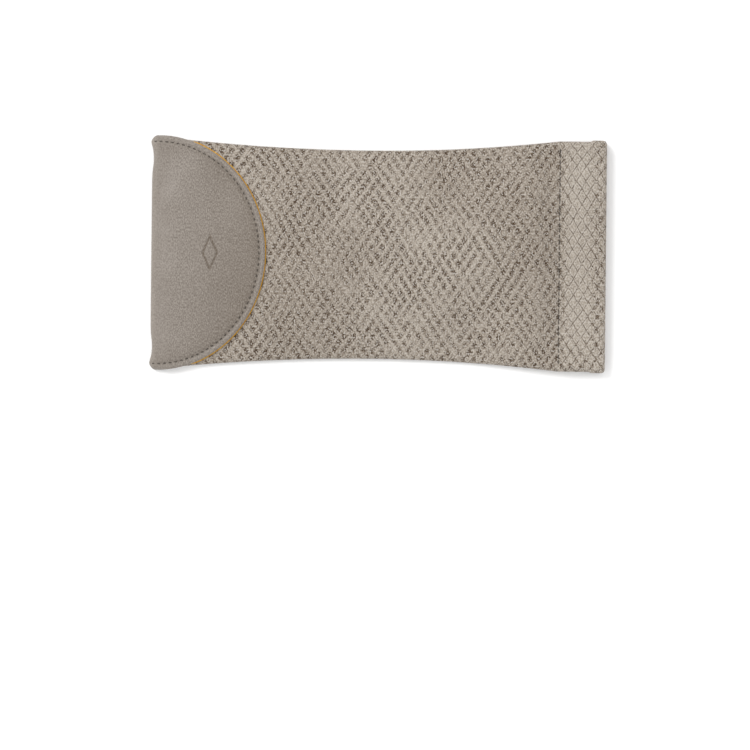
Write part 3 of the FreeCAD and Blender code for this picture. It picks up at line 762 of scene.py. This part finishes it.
# ---------------------------------------- the smooth leather: back, fold and patch
def make_back_leather():
    share, angle = section_columns(BACK_GRID)
    fold_x = MOUTH_X - HEM_RADIUS
    turned_rows = np.linspace(STITCH_X - HEM_LAP, fold_x, 26)[:-1]
    turn = np.linspace(math.pi, 0, 13)
    body_rows = np.linspace(fold_x, FOLD_X, round((fold_x - FOLD_X) / BACK_GRID) + 1)[1:]
    x = np.concatenate([turned_rows, np.full(len(turn), fold_x), body_rows])[:, None]
    bend = np.concatenate([np.full(len(turned_rows), math.pi), turn, np.zeros(len(body_rows))])
    bend = bend[:, None]

    roll = SIDE_ROLL + 0.2 * MM * hem_share(x)
    y = wall_across(x, bend, share, angle, roll)
    x = np.broadcast_to(x, y.shape)
    level = HEM_RADIUS * (1 - np.cos(bend))
    z = level + np.maximum(seam_height(x) - level, 0.0) * roll_drop(angle)
    x_out = wall_along(x, bend, angle)
    pressed = (BACK_HEM_HIGH - BACK_HEM_PRESSED) * (1 - hem_share(x))
    z = z - (bend == math.pi) * pressed + (bend == 0) * stitch_valley(x - STITCH_X, y)
    outer = np.stack([x_out, y, z], -1)
    inner = outer - LEATHER * grid_normals(outer)

    piece = shell("back_leather", outer, inner, SMOOTH, step=3, sharp=60)
    store_grid(piece, "flat", flat_places(*unrolled(outer, 0.0, share, angle, roll)))
    # paler on the mouth's fold and at the closed end: wear, and a painted highlight on the folds
    wear_and_highlight = 0.25 * bell(x_out - MOUTH_X, 2.5 * MM) + 0.12 * bell(x_out - CLOSED_X, 3 * MM)
    # the side rolls are painted paler: a painted highlight where the leather turns over
    light = np.broadcast_to(0.12 * smooth(angle / ROLL_END), y.shape)
    store_grid(piece, "tone", np.stack([light, wear_and_highlight, np.full_like(y, 0.35)], -1))
    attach(piece, "back_wall")
    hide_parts("back_panel")


def half_ellipse_grid(rows, columns, last=math.pi / 2):
    """A half ellipse's shares, from the fold to the curved edge, and its angles, -last to last.

    The rows lie a little closer together near the curved edge.
    """
    share = 1 - (1 - np.linspace(0, 1, rows)) ** 1.15
    return np.meshgrid(share, np.linspace(-last, last, columns), indexing="ij")


def fold_fullness(y):
    """1 along most of the end fold, falling to 0 at its corners like a quarter circle."""
    beyond = (np.abs(y) - (PATCH_HALF_WIDTH - CORNER_ROUND)) / CORNER_ROUND
    return np.sqrt(1 - np.clip(beyond, 0.0, 1.0) ** 2)


def near_fold(x):
    return 1 - smooth((x - FOLD_X) / CORNER_RUN)


def patch_top(x, y):
    """Height of the patch's outer face.

    It bridges the side rolls with a little droop, and its two corners close down to the seam.
    """
    droop = 0.55 * MM * smooth((np.abs(y) - (half_width(x) - 2.2 * MM)) / (2.6 * MM))
    level = front_face(x, y) - droop + PATCH_LIFT
    return level - (level - SEAM_HEIGHT) * (1 - fold_fullness(y)) * near_fold(x)


def lozenge(x, y):
    """A plain lozenge outline pressed into the patch: 1 in its line, 0 elsewhere."""
    size = np.abs(x - MARK_X) / MARK_HALF_WIDTH + np.abs(y) / MARK_HALF_LENGTH
    inside = (1 - size) / math.hypot(1 / MARK_HALF_WIDTH, 1 / MARK_HALF_LENGTH)
    return smooth(1.6 - np.abs(inside - MARK_LINE / 2) / (MARK_LINE / 2) * 1.6)


def patch_tone(x, y, inset, on_top):
    """The patch's shades, mostly painted light: paler at the fold and darker towards the tip, a painted
    highlight on the margin and painted shade inside it by the stitches, wear and a painted highlight on its
    edges, and darker in the mark.
    """
    from_end = x - CLOSED_X
    # painted light: paler at the fold, darker towards the tip
    light = 0.98 - 0.50 * smooth(from_end / (44 * MM))
    # painted shade in the dip along the row of stitches
    light = light - 0.16 * smooth((inset - 1.5 * MM) / (0.6 * MM)) * bell(inset, 6 * MM)
    # painted highlight on the puffed margin outside the stitches
    light = light * on_top + 0.40 * bell(inset - 1.0 * MM, 0.7 * MM) - lozenge(x, y)
    # paler on the end fold and the cut edge: wear, and a painted highlight
    wear_and_highlight = 0.16 * bell(from_end, 1.6 * MM) + 0.12 * bell(inset, 0.35 * MM)
    grained = 0.45 + 0.55 * smooth(from_end / (12 * MM))
    return np.stack([light, wear_and_highlight, grained], -1)


def make_patch():
    u, angle = half_ellipse_grid(128, 281)
    y_flat = PATCH_HALF_WIDTH * np.sin(angle)
    x_flat = FOLD_X + PATCH_REACH * u * np.cos(angle)
    inset = patch_edge_distance(x_flat, y_flat)
    edge_round = 0.22 * MM * (1 - smooth(inset / (0.7 * MM)))
    margin_puff = 0.14 * MM * bell(inset - 1.0 * MM, 0.6 * MM)
    valley = stitch_valley(inset - STITCH_INSET, PATCH_HALF_WIDTH * angle)
    z_flat = patch_top(x_flat, y_flat) - edge_round + margin_puff - valley
    z_flat = z_flat - MARK_DEPTH * lozenge(x_flat, y_flat)

    # the round fold, whose corners close down to the seam and stand out a little as ears
    turn = np.linspace(-math.pi / 2, math.pi / 2, 19)[:-1, None]
    fullness = fold_fullness(y_flat[0])
    low = SEAM_HEIGHT * (1 - fullness)
    middle, radius = (z_flat[0] + low) / 2, (z_flat[0] - low) / 2
    from_corner = PATCH_HALF_WIDTH - np.abs(y_flat[0])
    pinch = 0.60 * MM * bell(from_corner - 9 * MM, 4.5 * MM)
    ear = 0.45 * MM * bell(from_corner - 2.8 * MM, 1.8 * MM)
    depth = (FOLD_X - CLOSED_X - pinch + ear) * fullness
    thin = np.minimum(PATCH_LEATHER, 0.8 * radius)
    thickness = PATCH_LEATHER + (thin - PATCH_LEATHER) * near_fold(x_flat)

    def whole(fold, flat):
        """Values round the fold, then over the flat."""
        fold = np.broadcast_to(fold, (len(turn), u.shape[1]))
        return np.concatenate([fold, np.broadcast_to(flat, u.shape)])

    y = whole(y_flat[0], y_flat)
    outer = np.stack([whole(FOLD_X - depth * np.cos(turn), x_flat), y,
                      whole(middle + radius * np.sin(turn), z_flat)], -1)
    inner = np.stack([whole(FOLD_X - np.maximum(depth - thin, 0) * np.cos(turn), x_flat), y,
                      whole(middle + (radius - thin) * np.sin(turn), z_flat - thickness)], -1)
    piece = shell("end_patch_leather", outer, inner, SMOOTH, step=4, sharp=55)

    length = whole(FOLD_Z * turn, FOLD_Z * math.pi / 2 + (x_flat - FOLD_X))
    store_grid(piece, "flat", flat_places(length, y, layer=1.0))
    # the patch's painted paler light fades to the back's own colour round the underside of the fold
    on_top = whole(smooth((turn + 1.2) / 1.2), 1.0)
    store_grid(piece, "tone", patch_tone(outer[:, :, 0], y, whole(9 * MM, inset), on_top))
    opens = whole(smooth((turn + math.pi / 2) / math.pi), 1.0)
    follow_mouth(piece, on_both_grids(piece, opens))
    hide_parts("end_patch")


def make_patch_backing():
    """The flannel bonded under the patch, its cut edge standing out past the leather."""
    last = math.asin(1 - BACKING_INSET / PATCH_HALF_WIDTH)
    u, angle = half_ellipse_grid(40, 281, last)
    proud = 0.66 * MM * smooth((np.cos(angle) - math.cos(last)) / 0.08) - 0.26 * MM
    y = (PATCH_HALF_WIDTH + proud * u) * np.sin(angle)
    x = FOLD_X + (PATCH_REACH + proud * u) * u * np.cos(angle)
    ragged = 0.05 * MM * noise_field(x, y, 0.8 * MM, 31)
    y = y + ragged * np.sin(angle)
    x = x + ragged * np.cos(angle)
    top = patch_top(x, y) - PATCH_LEATHER - BOND + 0.02 * MM * noise_field(x, y, 0.6 * MM, 32)
    outer = np.stack([x, y, top], -1)
    inner = np.stack([x, y, top - FLANNEL], -1)
    piece = shell("patch_backing_flannel", outer, inner, YELLOW, step=4)
    store_grid(piece, "flat", flat_places(x, y))
    follow_mouth(piece)
    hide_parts("patch_backing")


# ---------------------------------------- linings
def lining_grid(inset, seed):
    """Places over a lining, inset from the pouch's sides, and the height of its nap there."""
    rows = np.linspace(LINING_LOW.x, LINING_HIGH.x, 124)[:, None]
    y = np.linspace(-1, 1, 68)[None, :] * (half_width(rows) - inset)
    x = np.broadcast_to(rows, y.shape)
    return x, y, 0.06 * MM * noise_field(x, y, 1.9 * MM, seed)


def make_lining(name, node, x, y, top, under):
    outer, inner = np.stack([x, y, top], -1), np.stack([x, y, under], -1)
    piece = shell(name, outer, inner, YELLOW)
    store_grid(piece, "flat", flat_places(x, y))
    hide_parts(node)
    return piece


def make_linings():
    x, y, nap = lining_grid(2.4 * MM, 41)
    top = front_face(x, y) - LEATHER - PIT_ROOM
    front = make_lining("front_lining_flannel", "front_lining", x, y, top, top - FLANNEL - nap)
    follow_mouth(front)
    x, y, nap = lining_grid(2.9 * MM, 42)
    under = np.full_like(y, LEATHER + BOND)
    back = make_lining("back_lining_flannel", "back_lining", x, y, under + FLANNEL + nap, under)
    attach(back, "back_wall")


# ---------------------------------------- stitches
def stitch_row(name, path, up, length_share=0.66):
    """Short thread lengths along a path of points, each sinking into its needle holes."""
    steps = np.linalg.norm(np.diff(path, axis=0), axis=1)
    reach = np.concatenate([[0.0], np.cumsum(steps)])
    count = int(reach[-1] // STITCH_PITCH)
    start = (reach[-1] - count * STITCH_PITCH) / 2
    spin = np.linspace(0, 2 * math.pi, STITCH_SIDES, endpoint=False)
    nearby = 0.1 * MM
    vertices, faces, places = [], [], []

    def at(distance, values):
        return np.array([np.interp(distance, reach, values[:, k]) for k in range(3)])

    for number in range(count):
        first = start + (number + (1 - length_share) / 2) * STITCH_PITCH
        base = len(vertices)
        for ring in range(STITCH_RINGS):
            share = ring / (STITCH_RINGS - 1)
            distance = first + share * length_share * STITCH_PITCH
            middle, normal = at(distance, path), at(distance, up)
            normal = normal / np.linalg.norm(normal)
            forward = at(distance + nearby, path) - at(distance - nearby, path)
            forward = forward / max(np.linalg.norm(forward), 1e-9)
            sideways = np.cross(normal, forward)
            end = abs(2 * share - 1)
            centre = middle + normal * (THREAD_LIFT - STITCH_SINK * end ** 3)
            size = THREAD / 2 * math.sqrt(max(1 - end ** 6, 0.02))
            for turn in spin:
                offset = math.cos(turn) * sideways + math.sin(turn) * normal
                vertices.append(centre + size * offset)
                places.append((distance, turn / (2 * math.pi), 0.0))
        for ring in range(STITCH_RINGS - 1):
            for k in range(STITCH_SIDES):
                here = base + ring * STITCH_SIDES + k
                beside = base + ring * STITCH_SIDES + (k + 1) % STITCH_SIDES
                faces.append((here, beside, beside + STITCH_SIDES, here + STITCH_SIDES))
        last_ring = base + (STITCH_RINGS - 1) * STITCH_SIDES
        faces.append([base + k for k in range(STITCH_SIDES)][::-1])
        faces.append([last_ring + k for k in range(STITCH_SIDES)])
    piece = link(name, vertices, faces, THREADS)
    store(piece, "flat", np.array(places))
    return piece


def make_hem_stitches():
    half = MOUTH_WIDTH / 2 - HEM_ROW_INSET
    y = np.linspace(-half, half, 180)
    x = np.full_like(y, STITCH_X)
    dip = stitch_valley(0.0, 0.0)
    front, back = "front_hem_thread", "back_hem_thread"
    for name, node, height, facing, length_share in (
            ("front_hem_stitches", front, front_face(x, y) - dip + HEM_THREAD_LIFT, 1.0, 0.84),
            ("front_hem_inner_stitches", front, FRONT_HEM_LOW, -1.0, 0.66),
            ("back_hem_stitches", back, dip - HEM_THREAD_LIFT, -1.0, 0.66),
            ("back_hem_inner_stitches", back, BACK_HEM_PRESSED, 1.0, 0.66)):
        path = np.stack([x, y, np.broadcast_to(height, y.shape)], -1)
        piece = stitch_row(name, path, np.tile([0.0, 0.0, facing], (len(y), 1)), length_share)
        if node == front:
            follow_mouth(piece)
        else:
            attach(piece, "back_wall")
        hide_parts(node)


def make_patch_stitches():
    angle = np.linspace(-math.pi / 2, math.pi / 2, 400)
    x = FOLD_X + (PATCH_REACH - STITCH_INSET) * np.cos(angle)
    y = (PATCH_HALF_WIDTH - STITCH_INSET) * np.sin(angle)
    z = patch_top(x, y) - 0.22 * MM             # in the dip that the row makes
    up = np.tile([0.0, 0.0, 1.0], (len(x), 1))
    # both ends of the row run on over the round fold
    turn = np.linspace(math.pi / 2, 0.2, 12)[1:]
    over_x = FOLD_X - (FOLD_X - CLOSED_X) * np.cos(turn)
    over_z = z[0] / 2 * (1 + np.sin(turn))
    over_up = np.stack([-np.cos(turn), np.zeros_like(turn), np.sin(turn)], -1)
    ends = [np.stack([over_x, np.full_like(turn, side), over_z], -1) for side in (y[0], y[-1])]
    path = np.concatenate([ends[0][::-1], np.stack([x, y, z], -1), ends[1]])
    up = np.concatenate([over_up[::-1], up, over_up])
    piece = stitch_row("patch_stitches", path, up, length_share=0.6)
    follow_mouth(piece)
    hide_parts("patch_thread")


def make_seam_stitches():
    """The thread of the two side seams, inside, where it holds the walls together."""
    for side, name in ((1, "left"), (-1, "right")):
        x = np.linspace(FOLD_X + 3 * MM, STITCH_X - 2 * MM, 300)
        y = side * (half_width(x) - SEAM_INSET)
        path = np.stack([x, y, seam_height(x)], -1)
        up = np.tile([0.0, float(-side), 0.0], (len(x), 1))
        piece = stitch_row(f"{name}_seam_stitches", path, up)
        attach(piece, "back_wall")
        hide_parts("side_seam_threads")


# ---------------------------------------- spring strips and their tips
def make_front_strip():
    low, high = FRONT_STRIP
    across = np.linspace(0, 1, 17)[:, None]
    along = np.linspace(-1, 1, 121)[None, :]
    end_round = 0.55                            # 0 leaves the ends square
    rounding = np.sqrt(1 - (np.abs(2 * across - 1) * end_round) ** 4)
    y = along * high.y * rounding
    x = np.broadcast_to(low.x + (high.x - low.x) * across, y.shape)
    steel = 0.25 * MM
    bow = (high.z - low.z - steel) * (1 - (2 * across - 1) ** 2)
    bow = np.broadcast_to(bow, y.shape)
    outer = np.stack([x, y, low.z + steel + bow], -1)
    inner = np.stack([x, y, low.z + bow], -1)
    piece = shell("front_spring_strip_steel", outer, inner, STEEL)
    follow_mouth(piece)
    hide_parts("front_spring_strip")


def make_front_tips():
    low, high = FRONT_TIPS
    length = 4.0 * MM
    for side, name in ((1, "left"), (-1, "right")):
        mesh = bmesh.new()
        bmesh.ops.create_cube(mesh, size=1.0)
        centre = Vector(((low.x + high.x) / 2, side * (high.y - length / 2), (low.z + high.z) / 2))
        size = Vector((high.x - low.x, length, high.z - low.z))
        for vertex in mesh.verts:
            vertex.co = Vector(a * b for a, b in zip(vertex.co, size)) + centre
        bmesh.ops.bevel(mesh, geom=list(mesh.edges), offset=0.35 * MM, segments=4, profile=0.5,
                        affect="EDGES")
        data = bpy.data.meshes.new(f"front_strip_tip_{name}")
        mesh.to_mesh(data)
        mesh.free()
        data.shade_smooth()
        data.materials.append(PLASTIC)
        piece = add_object(data.name, data)
        follow_mouth(piece)
        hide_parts("front_strip_tips")


def finish_cad_nodes():
    """The back strip and its tips keep their CAD shapes."""
    for node, material in (("back_spring_strip", STEEL), ("back_strip_tips", PLASTIC)):
        mesh = frame["nodes"][node].data
        mesh.materials.clear()
        mesh.materials.append(material)


# ---------------------------------------- floor, light and camera
def make_stage():
    mesh = bpy.data.meshes.new("floor")
    half = 6.0
    corners = [(-half, -half, 0), (half, -half, 0), (half, half, 0), (-half, half, 0)]
    mesh.from_pydata(corners, [], [(0, 1, 2, 3)])
    mesh.materials.append(floor_paint())
    add_object("floor", mesh)


def sun(name, direction, light, spread):
    """A broad lamp so far off that it lights everything alike."""
    towards = Vector(direction).normalized()
    data = bpy.data.lights.new(name, "SUN")
    data.angle = math.radians(spread)
    data.energy = light * math.pi / towards.z
    lamp = add_object(name, data)
    lamp.rotation_mode = "QUATERNION"
    lamp.rotation_quaternion = (-towards).to_track_quat("-Z", "Y")


def make_lights():
    sun("key", (-0.75, 0.60, 1.0), KEY_LIGHT, 30)
    sun("fill", (1.0, -0.4, 1.3), FILL_LIGHT, 40)
    world = bpy.data.worlds.new("studio")
    world.use_nodes = True
    background = world.node_tree.nodes["Background"]
    background.inputs["Color"].default_value = (1.0, 1.0, 1.0, 1.0)
    background.inputs["Strength"].default_value = SKY_LIGHT
    bpy.context.scene.world = world
    bpy.context.scene.view_settings.view_transform = "Standard"


def make_camera():
    """Straight above, with the pouch in the upper half of a square frame."""
    frame_width = 289.1 * MM
    pouch_right = 1.35 * MM                     # of the frame's middle
    pouch_up = 46.3 * MM
    turn = math.radians(0.6)                    # the pouch lies a little clockwise
    distance = 2.2
    data = bpy.data.cameras.new("camera")
    data.sensor_width = 36.0
    data.lens = data.sensor_width * distance / frame_width
    camera = add_object("camera", data)
    cos, sin = math.cos(turn), math.sin(turn)
    across, up = -pouch_right, -pouch_up
    camera.location = (across * cos - up * sin, across * sin + up * cos, distance)
    camera.rotation_euler = (0.0, 0.0, turn)
    data.clip_end = 50.0
    bpy.context.scene.camera = camera


SLACK = settled_slack()
make_camera()
make_front_leather()
make_back_leather()
make_patch_backing()
make_patch()
make_linings()
make_hem_stitches()
make_patch_stitches()
make_seam_stitches()
make_front_strip()
make_front_tips()
finish_cad_nodes()
make_stage()
make_lights()
